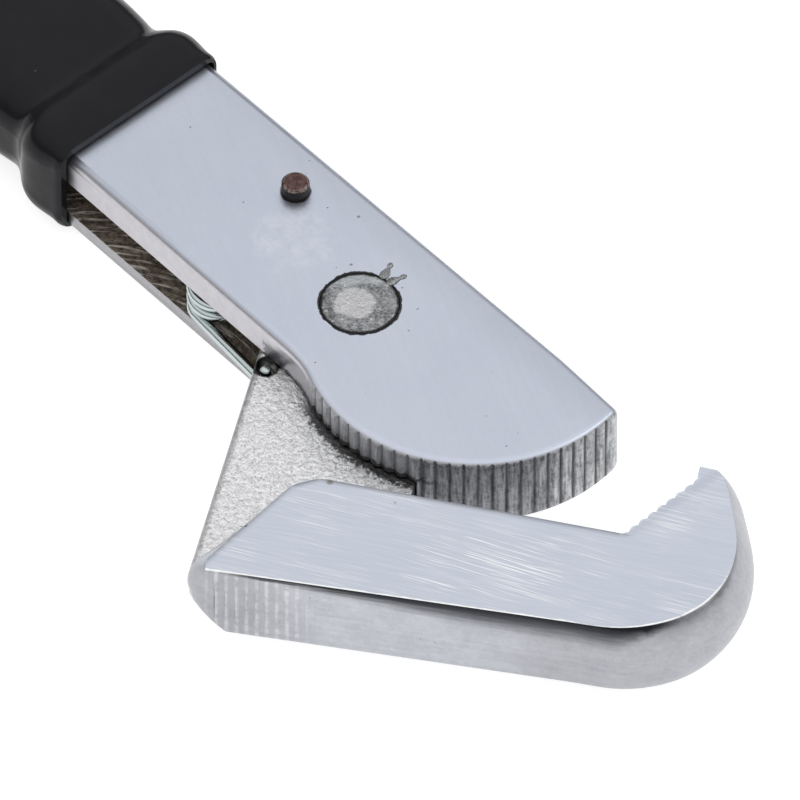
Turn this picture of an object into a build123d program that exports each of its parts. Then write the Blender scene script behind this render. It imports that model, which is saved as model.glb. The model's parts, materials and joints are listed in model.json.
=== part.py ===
from build123d import *
import os
from math import atan2, cos, radians, sin, sqrt

# Self-gripping hydrant wrench, closed on its stop, lying on its back. Millimetres.
# Origin: the pivot rivet's axis, in the plane of the bar's underside.
# +X runs along the bar towards the toothed nose, +Y away from the hook, +Z up through the thickness.

# ---- forged bar ----
THICKNESS = 12.2
UPPER_EDGE_Y = 13.0
LOWER_EDGE_BACK_Y = -11.3
LOWER_EDGE_FRONT_Y = -11.9
SHOULDER_X = -46.5
UPPER_BEND_X = 24.0
UPPER_BEND_RISE = 0.1
NOSE_TOP_Y = 12.6
NOSE_CORNER_R = 1.15
UPPER_EDGE_ROUND = 1.2
NOSE_LOWER_ROUND = 2.4
NOSE_ROUND_START_X = 6.0
CAM_X = 13.1
CAM_Y = 7.8
CAM_R = 22.4
CAM_MIDDLE_ANGLE = -50.0
CAM_BLEND_R = 15.0
UPPER_EDGE_BAND = (12.0, 14.0)
CAM_BAND = (2.0, 36.0)

# ---- teeth on the cam nose ----
CAM_TEETH = 25
CAM_TEETH_START = -107.0
CAM_TEETH_SWEEP = 113.0
TOOTH_DEPTH = 0.38
VALLEY_OVERCUT = 0.1
VALLEY_HALF_WIDTH = 0.75
VALLEY = (
    (-TOOTH_DEPTH, 0),
    (VALLEY_OVERCUT, -VALLEY_HALF_WIDTH),
    (VALLEY_OVERCUT, VALLEY_HALF_WIDTH),
)

# ---- slot milled from the hook side by one plunge of a disc cutter ----
SLOT_FLOOR_Z = 2.0
SLOT_CEILING_Z = 7.6
CUTTER_R = 44.0
CUTTER_X = -13.5
CUTTER_Y = -35.0
SIDE_CLEARANCE = 0.3

# ---- tang inside the grip ----
TANG_CENTRE_Y = 0.9
TANG_WIDTH = 17.0
TANG_THICKNESS = 8.6
TANG_START_X = -52.0
TANG_END_X = -150.0
TANG_CORNER_R = 1.5
SHOULDER_WIDTH = 22.5
SHOULDER_THICKNESS = 12.0
MID_Z = THICKNESS / 2

# ---- rivet and pin ----
RIVET_SHANK_R = 3.5
RIVET_HEAD_R = 5.0
RIVET_HEAD_GAP = 0.12
RIVET_TOP_HEAD = 1.8
RIVET_FOOT_R = 4.6
RIVET_FOOT_HEIGHT = 1.1
RUNNING_CLEARANCE = 0.05
PIN_X = -19.4
PIN_Y = 6.5
PIN_R = 1.8
PIN_PROUD = 1.85
PIN_RECESS = 0.2
PIN_EDGE = 0.25

# ---- jaw web ----
WEB_BOTTOM_Z = SLOT_FLOOR_Z + SIDE_CLEARANCE
WEB_TOP_Z = SLOT_CEILING_Z - SIDE_CLEARANCE
WEB_LOBE_R = 6.1
WEB_FRONT_END_ANGLE = 33.0
WEB_FRONT_SETBACK = 0.02
WEB_UNDER_HOOK = (27.8, -18.0)
WEB_UNDER_TAIL = (36.0, -28.0)
WEB_TAIL_CORNER = (16.8, -44.9)
WEB_TAIL_CORNER_R = 3.0
WEB_HOLE_CORNER = (-6.6, -10.9)
WEB_HOLE_CORNER_R = 1.5
WEB_TOP_ROUND = 1.0
WEB_BOTTOM_ROUND = 1.4
SPRING_HOLE_X = -3.2
SPRING_HOLE_Y = -13.0
SPRING_HOLE_W = 2.5
SPRING_HOLE_LENGTH = 3.3
SPRING_HOLE_TURN = -42.0
SPRING_RELIEF_R = 4.6
SPRING_RELIEF_DEPTH = 3.0
SPRING_RELIEF_SHIFT = 1.5

# ---- hook teeth and tail flutes ----
HOOK_TEETH = 8
HOOK_TOOTH_PITCH = 1.61
FLUTES = 11
FLUTE_PITCH = 1.29
FLUTE_START = 0.7
FLUTE_R = 0.6
FLUTE_DEPTH = 0.05
HOOK_LOWER_ROUND = 1.4
HEAD_BAND = (51.0, 70.0)
TAIL_UNDERCUT = 3.4
TAIL_BOW = 0.12
TAIL_BOW_SWELL = 0.8
RAISED_BOW = (-0.75, 0.55)

# ---- torsion spring ----
WIRE_R = 0.7
COIL_X = -18.0
COIL_Y = -8.0
COIL_R = 3.3
COIL_PITCH = 1.7
COIL_CLEARANCE = 0.1
COIL_BOTTOM_Z = SLOT_FLOOR_Z + WIRE_R + COIL_CLEARANCE
COIL_TURNS = 2.3
LEG_END = (-16.3, 7.6)
WIRE_END = (-2.8, -13.4)
WIRE_END_PROUD = 0.2
WEB_LEG_RISE = 1.5
WEB_LEG_REACH = 0.3
WIRE_BEND_R = 1.2

# ---- plastic grip ----
GRIP_FRONT_X = -42.6
GRIP_CENTRE_Y = 0.6
GRIP_CENTRE_Z = 6.3
GRIP_LIP_GAP = 0.4
GRIP_LIP_DEPTH = 2.2
GRIP_END_X = -174.5
GRIP_END_ROUND = 2.0
HANG_HOLE_R = 3.5
HANG_HOLE_X = -163.0


def bar_outline():
    """Plan outline of the forged bar: straight edges, cam nose and its soft concave blend."""
    nose_x = CAM_X + sqrt(CAM_R**2 - (NOSE_TOP_Y - CAM_Y) ** 2)
    blend_x = CAM_X - sqrt(CAM_R**2 - (LOWER_EDGE_FRONT_Y - CAM_Y) ** 2)
    upper_bend = (UPPER_BEND_X, UPPER_EDGE_Y + UPPER_BEND_RISE)
    middle = radians(CAM_MIDDLE_ANGLE)
    with BuildSketch(mode=Mode.PRIVATE) as outline:
        with BuildLine():
            Line((SHOULDER_X, UPPER_EDGE_Y), upper_bend)
            Line(upper_bend, (nose_x, NOSE_TOP_Y))
            ThreePointArc(
                (nose_x, NOSE_TOP_Y),
                (CAM_X + CAM_R * cos(middle), CAM_Y + CAM_R * sin(middle)),
                (blend_x, LOWER_EDGE_FRONT_Y),
            )
            Line((blend_x, LOWER_EDGE_FRONT_Y), (SHOULDER_X, LOWER_EDGE_BACK_Y))
            Line((SHOULDER_X, LOWER_EDGE_BACK_Y), (SHOULDER_X, UPPER_EDGE_Y))
        make_face()
        blend_corner = outline.vertices().sort_by_distance((blend_x, LOWER_EDGE_FRONT_Y))[0]
        fillet(blend_corner, CAM_BLEND_R)
    return outline.sketch


# ---- blank of the bar: head, shoulder and tang, before slotting and drilling ----
with BuildPart() as bar_blank:
    with BuildSketch():
        add(bar_outline())
    extrude(amount=THICKNESS)
    top_edges = bar_blank.faces().sort_by(Axis.Z)[-1].edges()
    fillet(top_edges.filter_by_position(Axis.Y, *UPPER_EDGE_BAND), UPPER_EDGE_ROUND)
    nose_corner = bar_blank.edges().filter_by(Axis.Z).sort_by(Axis.X)[-1]
    fillet(nose_corner, NOSE_CORNER_R)
    bottom_edges = bar_blank.faces().sort_by(Axis.Z)[0].edges()
    nose_edges = bottom_edges.filter_by_position(Axis.X, *CAM_BAND).filter_by(GeomType.CIRCLE)
    fillet(nose_edges, NOSE_LOWER_ROUND)
    # only the nose is rounded below: behind it the lower edge stays square
    with BuildSketch():
        add(bar_outline())
        with Locations((NOSE_ROUND_START_X, 0)):
            Rectangle(
                NOSE_ROUND_START_X - SHOULDER_X,
                UPPER_EDGE_Y - LOWER_EDGE_FRONT_Y,
                align=(Align.MAX, Align.MAX),
                mode=Mode.INTERSECT,
            )
    extrude(amount=THICKNESS / 2)
    with BuildSketch(Plane.YZ.offset(SHOULDER_X)):
        with Locations((TANG_CENTRE_Y, MID_Z)):
            RectangleRounded(SHOULDER_WIDTH, SHOULDER_THICKNESS, TANG_CORNER_R)
    with BuildSketch(Plane.YZ.offset(TANG_START_X)):
        with Locations((TANG_CENTRE_Y, MID_Z)):
            RectangleRounded(TANG_WIDTH, TANG_THICKNESS, TANG_CORNER_R)
    loft()
    with BuildSketch(Plane.YZ.offset(TANG_START_X)):
        with Locations((TANG_CENTRE_Y, MID_Z)):
            RectangleRounded(TANG_WIDTH, TANG_THICKNESS, TANG_CORNER_R)
    extrude(amount=TANG_END_X - TANG_START_X)

# ---- handle bar ----
with BuildPart() as handle_bar:
    add(bar_blank.part)
    with BuildSketch(Plane.XY.offset(SLOT_FLOOR_Z)):
        with Locations((CUTTER_X, CUTTER_Y)):
            Circle(CUTTER_R)
    extrude(amount=SLOT_CEILING_Z - SLOT_FLOOR_Z, mode=Mode.SUBTRACT)
    Cylinder(RIVET_SHANK_R, THICKNESS, align=(Align.CENTER, Align.CENTER, Align.MIN), mode=Mode.SUBTRACT)
    with Locations((0, 0, THICKNESS)):
        Cylinder(
            RIVET_HEAD_R + RIVET_HEAD_GAP,
            RIVET_TOP_HEAD,
            align=(Align.CENTER, Align.CENTER, Align.MAX),
            mode=Mode.SUBTRACT,
        )
    Cone(
        RIVET_FOOT_R,
        RIVET_SHANK_R,
        RIVET_FOOT_HEIGHT,
        align=(Align.CENTER, Align.CENTER, Align.MIN),
        mode=Mode.SUBTRACT,
    )
    with Locations((PIN_X, PIN_Y, 0)):
        Cylinder(PIN_R, THICKNESS, align=(Align.CENTER, Align.CENTER, Align.MIN), mode=Mode.SUBTRACT)
    with BuildSketch():
        with Locations((CAM_X, CAM_Y)):
            with PolarLocations(CAM_R, CAM_TEETH, CAM_TEETH_START, CAM_TEETH_SWEEP, endpoint=True):
                Polygon(*VALLEY, align=None)
    extrude(amount=THICKNESS, mode=Mode.SUBTRACT)
handle_bar.part.label = "handle_bar"

# ---- hook outline ----
# Plan outline of the hook at its two faces, with how far the forged flank swells at mid thickness.
TOOTH_ROOT = (50.4, -1.0)
TOOTH_TOP = (49.9, 12.1)
BEAK = (48.7, 13.7)
HEAD_POINTS = (
    ((50.6, 14.9), (0.4, 2.0)),
    ((55.4, 12.7), (1.1, 1.9)),
    ((60.9, 8.8), (1.6, 1.6)),
    ((65.1, 2.5), (2.1, 0.6)),
    ((65.4, -4.8), (1.8, -0.6)),
    ((61.9, -11.4), (1.0, -0.8)),
    ((56.5, -15.9), (0.35, -0.45)),
)
OUTER_SLOPE = (0.803, 0.595)
TAIL_CORNER = ((19.9, -43.8), (-0.5, -0.7))
TAIL_REAR = ((18.7, -42.3), (-3.1, 1.2))
RAISED_CORNER = ((16.9, -28.0), (-0.9, 0.0))
INNER_START = ((19.4, -22.3), (-0.5, 0.7))


def swollen(entry, share):
    """Outline point moved outwards by a share of its swell."""
    point, swell = entry
    return (point[0] + swell[0] * share, point[1] + swell[1] * share)


def hook_section(height, share, undercut):
    """Face of the hook's raised body at one height; the undercut draws the tail in towards the head."""
    head = [swollen(entry, share) for entry in HEAD_POINTS]
    corner = swollen(TAIL_CORNER, share)
    rear = swollen(TAIL_REAR, share)
    raised = swollen(RAISED_CORNER, share)
    inner = swollen(INNER_START, share)
    corner = (corner[0] + undercut * OUTER_SLOPE[0], corner[1] + undercut * OUTER_SLOPE[1])
    rear = (rear[0] + undercut * OUTER_SLOPE[0], rear[1] + undercut * OUTER_SLOPE[1])
    tail_bow = TAIL_BOW + TAIL_BOW_SWELL * share
    tail_mid = ((corner[0] + rear[0]) / 2 - tail_bow, (corner[1] + rear[1]) / 2 - tail_bow)
    raised_mid = (
        (raised[0] + inner[0]) / 2 + RAISED_BOW[0],
        (raised[1] + inner[1]) / 2 + RAISED_BOW[1],
    )
    with BuildSketch(Plane.XY.offset(height), mode=Mode.PRIVATE) as section:
        with BuildLine():
            Line(TOOTH_ROOT, TOOTH_TOP)
            Line(TOOTH_TOP, BEAK)
            Line(BEAK, head[0])
            Spline(*head, tangents=[(0.9, -0.1), (-OUTER_SLOPE[0], -OUTER_SLOPE[1])])
            Line(head[-1], corner)
            ThreePointArc(corner, tail_mid, rear)
            Line(rear, raised)
            ThreePointArc(raised, raised_mid, inner)
            Line(inner, TOOTH_ROOT)
        make_face()
    return section.sketch


def on_web_front(angle):
    """Point on the web's front edge, which follows the slot's end at a running distance."""
    front_r = CUTTER_R - SIDE_CLEARANCE
    return (CUTTER_X + front_r * cos(angle), CUTTER_Y + front_r * sin(angle))


def web_outline():
    """Plan outline of the web: lobe round the rivet, front edge on the slot's end, straight rear edge."""
    lobe_angle = atan2(-CUTTER_Y, -CUTTER_X)
    lobe_top = (WEB_LOBE_R * cos(lobe_angle), WEB_LOBE_R * sin(lobe_angle))
    lobe_mid = (-WEB_LOBE_R * sqrt(0.5), WEB_LOBE_R * sqrt(0.5))
    end_angle = radians(WEB_FRONT_END_ANGLE)
    start = on_web_front(lobe_angle - WEB_FRONT_SETBACK)
    with BuildSketch(Plane.XY.offset(WEB_BOTTOM_Z), mode=Mode.PRIVATE) as outline:
        with BuildLine():
            ThreePointArc(start, on_web_front((lobe_angle + end_angle) / 2), on_web_front(end_angle))
            Line(on_web_front(end_angle), WEB_UNDER_HOOK)
            Line(WEB_UNDER_HOOK, WEB_UNDER_TAIL)
            Line(WEB_UNDER_TAIL, WEB_TAIL_CORNER)
            Line(WEB_TAIL_CORNER, WEB_HOLE_CORNER)
            Line(WEB_HOLE_CORNER, (-WEB_LOBE_R, 0))
            ThreePointArc((-WEB_LOBE_R, 0), lobe_mid, lobe_top)
            Line(lobe_top, start)
        make_face()
        tail_corner = outline.vertices().sort_by(Axis.Y)[0]
        fillet(tail_corner, WEB_TAIL_CORNER_R)
        hole_corner = outline.vertices().sort_by_distance(WEB_HOLE_CORNER)[0]
        fillet(hole_corner, WEB_HOLE_CORNER_R)
    return outline.sketch


# ---- blank of the web, with its rear edge rounded above and below ----
rear_middle = (
    (WEB_TAIL_CORNER[0] + WEB_HOLE_CORNER[0]) / 2,
    (WEB_TAIL_CORNER[1] + WEB_HOLE_CORNER[1]) / 2,
)
with BuildPart() as web_blank:
    add(web_outline())
    extrude(amount=WEB_TOP_Z - WEB_BOTTOM_Z)
    top_rear = web_blank.edges().sort_by_distance((rear_middle[0], rear_middle[1], WEB_TOP_Z))[0]
    fillet(top_rear, WEB_TOP_ROUND)
    bottom_rear = web_blank.edges().sort_by_distance((rear_middle[0], rear_middle[1], WEB_BOTTOM_Z))[0]
    fillet(bottom_rear, WEB_BOTTOM_ROUND)

# ---- hook jaw ----
with BuildPart() as hook_jaw:
    add(hook_section(0, 0, TAIL_UNDERCUT))
    add(hook_section(MID_Z, 1, 0))
    add(hook_section(THICKNESS, 0, 0))
    loft()
    lower_edges = hook_jaw.faces().sort_by(Axis.Z)[0].edges()
    fillet(lower_edges.filter_by_position(Axis.X, *HEAD_BAND), HOOK_LOWER_ROUND)
    add(web_blank.part)
    Cylinder(
        RIVET_SHANK_R + RUNNING_CLEARANCE,
        THICKNESS,
        align=(Align.CENTER, Align.CENTER, Align.MIN),
        mode=Mode.SUBTRACT,
    )
    with BuildSketch():
        with Locations(Location((SPRING_HOLE_X, SPRING_HOLE_Y, 0), (0, 0, SPRING_HOLE_TURN))):
            SlotOverall(SPRING_HOLE_LENGTH, SPRING_HOLE_W)
    extrude(amount=THICKNESS, mode=Mode.SUBTRACT)
    with Locations((SPRING_HOLE_X - SPRING_RELIEF_SHIFT, SPRING_HOLE_Y, WEB_BOTTOM_Z)):
        Cylinder(
            SPRING_RELIEF_R,
            SPRING_RELIEF_DEPTH,
            align=(Align.CENTER, Align.CENTER, Align.MIN),
            mode=Mode.SUBTRACT,
        )
    with BuildSketch():
        for tooth in range(HOOK_TEETH):
            rise = HOOK_TOOTH_PITCH * (tooth + 0.5)
            lean = rise * (TOOTH_TOP[0] - TOOTH_ROOT[0]) / (TOOTH_TOP[1] - TOOTH_ROOT[1])
            with Locations(Location((TOOTH_ROOT[0] + lean, TOOTH_ROOT[1] + rise, 0), (0, 0, 180))):
                Polygon(*VALLEY, align=None)
        for flute in range(FLUTES):
            along = FLUTE_START + FLUTE_PITCH * flute
            outside = FLUTE_R - FLUTE_DEPTH
            x = TAIL_CORNER[0][0] + along * OUTER_SLOPE[0] + outside * OUTER_SLOPE[1]
            y = TAIL_CORNER[0][1] + along * OUTER_SLOPE[1] - outside * OUTER_SLOPE[0]
            with Locations((x, y)):
                Circle(FLUTE_R)
    extrude(amount=THICKNESS, mode=Mode.SUBTRACT)
hook_jaw.part.label = "hook_jaw"

# ---- pivot rivet ----
with BuildPart() as pivot_rivet:
    Cylinder(RIVET_SHANK_R, THICKNESS, align=(Align.CENTER, Align.CENTER, Align.MIN))
    with Locations((0, 0, THICKNESS)):
        Cylinder(RIVET_HEAD_R, RIVET_TOP_HEAD, align=(Align.CENTER, Align.CENTER, Align.MAX))
    Cone(RIVET_FOOT_R, RIVET_SHANK_R, RIVET_FOOT_HEIGHT, align=(Align.CENTER, Align.CENTER, Align.MIN))
pivot_rivet.part.label = "pivot_rivet"

# ---- spring pin ----
with BuildPart() as spring_pin:
    with Locations((PIN_X, PIN_Y, PIN_RECESS)):
        Cylinder(PIN_R, THICKNESS + PIN_PROUD - PIN_RECESS, align=(Align.CENTER, Align.CENTER, Align.MIN))
    chamfer(spring_pin.faces().sort_by(Axis.Z)[-1].edges(), PIN_EDGE)
spring_pin.part.label = "spring_pin"

# ---- torsion spring: coil with one leg to the web's hole and one to the pin ----
coil_top_z = COIL_BOTTOM_Z + COIL_PITCH * COIL_TURNS
coil_end_angle = radians(-90 - 360 * COIL_TURNS)
coil_end = (COIL_X + COIL_R * cos(coil_end_angle), COIL_Y + COIL_R * sin(coil_end_angle), coil_top_z)
coil_plane = Plane(origin=(COIL_X, COIL_Y, COIL_BOTTOM_Z), x_dir=(0, -1, 0), z_dir=(0, 0, 1))
with BuildPart() as torsion_spring:
    with BuildLine(coil_plane) as coil_path:
        Helix(COIL_PITCH, COIL_PITCH * COIL_TURNS, COIL_R, lefthand=True)
    with BuildSketch(Plane(origin=coil_path.line @ 0, z_dir=coil_path.line % 0)):
        Circle(WIRE_R)
    sweep(path=coil_path.line, is_frenet=True)
    with BuildLine() as web_leg:
        FilletPolyline(
            (WIRE_END[0], WIRE_END[1], WEB_TOP_Z + WIRE_END_PROUD),
            (WIRE_END[0], WIRE_END[1], COIL_BOTTOM_Z + WEB_LEG_RISE),
            (COIL_X - WEB_LEG_REACH, COIL_Y - COIL_R, COIL_BOTTOM_Z),
            radius=WIRE_BEND_R,
        )
    with BuildSketch(Plane(origin=web_leg.line @ 0, z_dir=web_leg.line % 0)):
        Circle(WIRE_R)
    sweep(path=web_leg.line)
    with BuildLine() as pin_leg:
        Line(coil_end, (LEG_END[0], LEG_END[1], coil_top_z))
    with BuildSketch(Plane(origin=coil_end, z_dir=pin_leg.line % 0)):
        Circle(WIRE_R)
    sweep(path=pin_leg.line)
torsion_spring.part.label = "torsion_spring"

# ---- grip sleeve: stations along the bar as (x, width, height, corner radius) ----
GRIP_STATIONS = (
    (GRIP_FRONT_X, 26.4, 14.6, 2.4),
    (-43.8, 27.3, 15.4, 3.4),
    (-46.8, 28.1, 16.0, 4.2),
    (-49.6, 27.4, 15.4, 4.6),
    (-51.3, 25.3, 13.9, 4.6),
    (-52.4, 24.5, 13.4, 4.6),
    (-54.5, 24.6, 13.7, 4.8),
    (-62.0, 25.4, 14.4, 5.2),
    (-80.0, 26.6, 15.6, 6.0),
    (-110.0, 28.0, 16.4, 6.6),
    (-140.0, 26.8, 15.4, 6.2),
    (-160.0, 25.6, 14.4, 5.6),
    (-170.0, 24.4, 13.6, 5.0),
    (GRIP_END_X, 19.6, 10.0, 3.6),
)
with BuildPart() as grip_sleeve:
    for x, width, height, corner in GRIP_STATIONS:
        with BuildSketch(Plane.YZ.offset(x)):
            with Locations((GRIP_CENTRE_Y, GRIP_CENTRE_Z)):
                RectangleRounded(width, height, corner)
    loft()
    fillet(grip_sleeve.faces().sort_by(Axis.X)[0].edges(), GRIP_END_ROUND)
    add(bar_blank.part, mode=Mode.SUBTRACT)
    with BuildSketch(Plane.YZ.offset(GRIP_FRONT_X)):
        with Locations(((UPPER_EDGE_Y + LOWER_EDGE_BACK_Y) / 2, MID_Z)):
            RectangleRounded(
                UPPER_EDGE_Y - LOWER_EDGE_BACK_Y + 2 * GRIP_LIP_GAP,
                THICKNESS + 2 * GRIP_LIP_GAP,
                UPPER_EDGE_ROUND,
            )
    extrude(amount=-GRIP_LIP_DEPTH, mode=Mode.SUBTRACT)
    with Locations((HANG_HOLE_X, GRIP_CENTRE_Y, GRIP_CENTRE_Z)):
        Cylinder(HANG_HOLE_R, 2 * THICKNESS, mode=Mode.SUBTRACT)
grip_sleeve.part.label = "grip_sleeve"

# ---- export ----
os.makedirs("parts", exist_ok=True)
for piece in (handle_bar, hook_jaw, pivot_rivet, spring_pin, torsion_spring, grip_sleeve):
    export_step(piece.part, f"parts/{piece.part.label}.step")
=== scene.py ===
import json
import math

import bpy
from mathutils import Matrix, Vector


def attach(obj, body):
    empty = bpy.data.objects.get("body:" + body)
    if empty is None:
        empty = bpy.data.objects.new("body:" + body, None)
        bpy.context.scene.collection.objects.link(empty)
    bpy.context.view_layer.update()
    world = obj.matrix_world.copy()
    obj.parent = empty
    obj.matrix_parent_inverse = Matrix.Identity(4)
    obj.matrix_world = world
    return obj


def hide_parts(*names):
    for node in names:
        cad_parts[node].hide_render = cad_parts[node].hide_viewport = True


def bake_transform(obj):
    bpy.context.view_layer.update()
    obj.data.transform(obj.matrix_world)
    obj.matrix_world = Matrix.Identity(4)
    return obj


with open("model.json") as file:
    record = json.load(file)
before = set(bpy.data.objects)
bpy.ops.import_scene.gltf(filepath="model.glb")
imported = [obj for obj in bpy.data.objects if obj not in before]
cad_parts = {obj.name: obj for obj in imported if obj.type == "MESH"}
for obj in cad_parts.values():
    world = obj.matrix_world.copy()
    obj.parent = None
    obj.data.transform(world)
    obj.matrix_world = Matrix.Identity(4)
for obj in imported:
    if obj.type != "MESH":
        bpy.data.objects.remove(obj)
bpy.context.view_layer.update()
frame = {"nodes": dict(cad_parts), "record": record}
MM = 0.001

# Geometry shared with the CAD, in millimetres: the materials find the regions of a part with it.
BAR_TOP = 12.2
CAM = (13.1, 7.8)
CAM_R = 22.4
CUTTER = (-13.5, -35.0)
CUTTER_R = 44.0
SLOT_FLOOR = 2.0
SLOT_CEILING = 7.6
WEB_TOP = 7.3
PIN = (-19.4, 6.5)
RIVET_HEAD_R = 5.0
SPRING_HOLE = (-3.2, -13.0)
HOOK_AXIS = (0.803, 0.595)
HOOK_OUTER = (19.9, -43.8)
HOOK_EDGE = (0.7953, 0.6063)
HEAD_START = (56.5, -15.9)
HEAD_MIDDLE = (61.9, -11.4)
HEAD_OUTMOST = (65.4, -4.8)
HEAD_UPPER = (65.1, 2.5)
HEAD_BACK = (60.9, 8.8)
HOOK_REAR_CORNER = (16.9, -28.0)
HOOK_INNER_CORNER = (19.4, -22.3)
WEB_REAR = (-6.6, -10.9)
WEB_REAR_INWARD = (0.824, 0.567)
SLOT_MOUTH = (-3.0, -11.9)
BAR_EDGE_Y = -11.88
BAR_EDGE_SLOPE = -0.0125
TEETH_X = 50.4
TEETH_START_Y = -1.0
TEETH_LEAN = 0.038
FIRST_FLUTE = 0.7
FLUTE_PITCH = 1.29
RIVET = (0.0, 0.0)

# Where single marks of wear sit, and the directions of the tool marks, in plan.
BAR_GRIND = (0.92, -0.39)
CUTTER_MARKS = (0.9, 0.43)
HOOK_GRIND = (0.868, 0.497)
HOOK_SCRATCHES = (0.900, 0.436)
RUBBED_PATCH = (-14.0, 1.5)
STAIN = (19.6, -22.6)
RIVET_FLAT = (-0.6, -0.4)
RIVET_CRESCENT = (-0.77, 0.64)
ROUNDED_BORDER = 0.9


def circle_through(a, b, c):
    """Centre and radius of the circle through three points."""
    (ax, ay), (bx, by), (cx, cy) = a, b, c
    twice_area = 2 * (ax * (by - cy) + bx * (cy - ay) + cx * (ay - by))
    a2, b2, c2 = ax**2 + ay**2, bx**2 + by**2, cx**2 + cy**2
    x = (a2 * (by - cy) + b2 * (cy - ay) + c2 * (ay - by)) / twice_area
    y = (a2 * (cx - bx) + b2 * (ax - cx) + c2 * (bx - ax)) / twice_area
    return (x, y), math.hypot(ax - x, ay - y)


class Nodes:
    """One procedural material, with its coordinates in millimetres of the part's own frame."""

    def __init__(self, name):
        self.material = bpy.data.materials.new(name)
        self.material.use_nodes = True
        self.tree = self.material.node_tree
        self.tree.nodes.clear()
        output = self.tree.nodes.new("ShaderNodeOutputMaterial")
        self.shader = self.tree.nodes.new("ShaderNodeBsdfPrincipled")
        self.tree.links.new(self.shader.outputs[0], output.inputs[0])
        coordinate = self.tree.nodes.new("ShaderNodeTexCoord")
        self.place = self.vector("SCALE", coordinate.outputs["Object"], scale=1 / MM)
        self.x, self.y, self.z = self.split(self.place)
        self.nx, self.ny, self.nz = self.split(coordinate.outputs["Normal"])

    def put(self, socket, value):
        if isinstance(value, bpy.types.NodeSocket):
            self.tree.links.new(value, socket)
        elif isinstance(value, tuple) and len(value) == 3 and socket.type == "RGBA":
            socket.default_value = (*value, 1.0)
        else:
            socket.default_value = value

    def split(self, value):
        node = self.tree.nodes.new("ShaderNodeSeparateXYZ")
        self.put(node.inputs[0], value)
        return node.outputs[0], node.outputs[1], node.outputs[2]

    def vector(self, operation, a, b=None, scale=None):
        node = self.tree.nodes.new("ShaderNodeVectorMath")
        node.operation = operation
        self.put(node.inputs[0], a)
        if b is not None:
            self.put(node.inputs[1], b)
        if scale is not None:
            self.put(node.inputs["Scale"], scale)
        return node.outputs[0]

    def math(self, operation, a, b=0.0, c=0.0, clamp=False):
        node = self.tree.nodes.new("ShaderNodeMath")
        node.operation = operation
        node.use_clamp = clamp
        for socket, value in zip(node.inputs, (a, b, c)):
            self.put(socket, value)
        return node.outputs[0]

    def add(self, a, b):
        return self.math("ADD", a, b)

    def times(self, a, b):
        return self.math("MULTIPLY", a, b)

    def most(self, *values):
        result = values[0]
        for value in values[1:]:
            result = self.math("MAXIMUM", result, value)
        return result

    def all(self, *values):
        result = values[0]
        for value in values[1:]:
            result = self.times(result, value)
        return result

    def inverse(self, a):
        return self.math("SUBTRACT", 1.0, a, clamp=True)

    def step(self, value, low, high, top=1.0):
        """0 below low, top above high, smooth between; low may be the larger."""
        node = self.tree.nodes.new("ShaderNodeMapRange")
        node.interpolation_type = "SMOOTHSTEP"
        if low > high:
            self.set_range(node, high, low, top, 0.0)
        else:
            self.set_range(node, low, high, 0.0, top)
        self.put(node.inputs[0], value)
        return node.outputs[0]

    def set_range(self, node, low, high, at_low, at_high):
        for index, value in enumerate((low, high, at_low, at_high), 1):
            node.inputs[index].default_value = value

    def ring(self, distance, centre, half):
        """1 on a line at the given distance, falling to 0 at half its width away."""
        away = self.math("ABSOLUTE", self.math("SUBTRACT", distance, centre))
        return self.step(away, half, half * 0.4)

    def distance(self, centre):
        dx = self.math("SUBTRACT", self.x, centre[0])
        dy = self.math("SUBTRACT", self.y, centre[1])
        return self.math("SQRT", self.add(self.times(dx, dx), self.times(dy, dy)))

    def along(self, direction, origin=(0.0, 0.0)):
        """Distance along a direction in plan from an origin."""
        dx = self.times(self.math("SUBTRACT", self.x, origin[0]), direction[0])
        dy = self.times(self.math("SUBTRACT", self.y, origin[1]), direction[1])
        return self.add(dx, dy)

    def facing_up(self):
        """1 on the faces that look up, falling to 0 down their rounded edges."""
        return self.step(self.nz, 0.55, 0.9)

    def wobble(self, pattern, amount):
        """A 0 to 1 pattern turned into a shift of that whole amount, evenly about 0."""
        return self.times(self.math("SUBTRACT", pattern, 0.5), amount)

    def combine(self, x, y, z):
        node = self.tree.nodes.new("ShaderNodeCombineXYZ")
        for socket, value in zip(node.inputs, (x, y, z)):
            self.put(socket, value)
        return node.outputs[0]

    def noise(self, scale, detail=3.0, rough=0.55, at=None):
        node = self.tree.nodes.new("ShaderNodeTexNoise")
        self.put(node.inputs["Vector"], self.place if at is None else at)
        self.put(node.inputs["Scale"], scale)
        self.put(node.inputs["Detail"], detail)
        self.put(node.inputs["Roughness"], rough)
        return node.outputs[0]

    def cells(self, scale, output="Distance", feature="F1"):
        node = self.tree.nodes.new("ShaderNodeTexVoronoi")
        node.feature = feature
        self.put(node.inputs["Vector"], self.place)
        self.put(node.inputs["Scale"], scale)
        return node.outputs[output]

    def specks(self, spacing, size, share):
        """Sparse round specks: a share of the cells of that spacing hold one of about that size."""
        near = self.cells(1 / spacing)
        chance = self.split(self.cells(1 / spacing, output="Color"))[0]
        ragged = self.add(near, self.times(self.noise(3.0, 2.0), 0.35 * size / spacing))
        dot = self.step(ragged, size / spacing * 1.1, size / spacing * 0.6)
        return self.times(dot, self.step(chance, 1 - share, 1 - share + 0.02))

    def mix(self, share, a, b):
        node = self.tree.nodes.new("ShaderNodeMix")
        node.data_type = "RGBA"
        self.put(node.inputs[0], share)
        self.put(node.inputs[6], a)
        self.put(node.inputs[7], b)
        return node.outputs[2]

    def tone(self, colour, share, strength):
        """Colour made lighter or darker by a 0 to 1 pattern, evenly about its middle."""
        swing = self.math("MULTIPLY_ADD", share, 2 * strength, 1 - strength)
        return self.vector("SCALE", colour, scale=swing)

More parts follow.
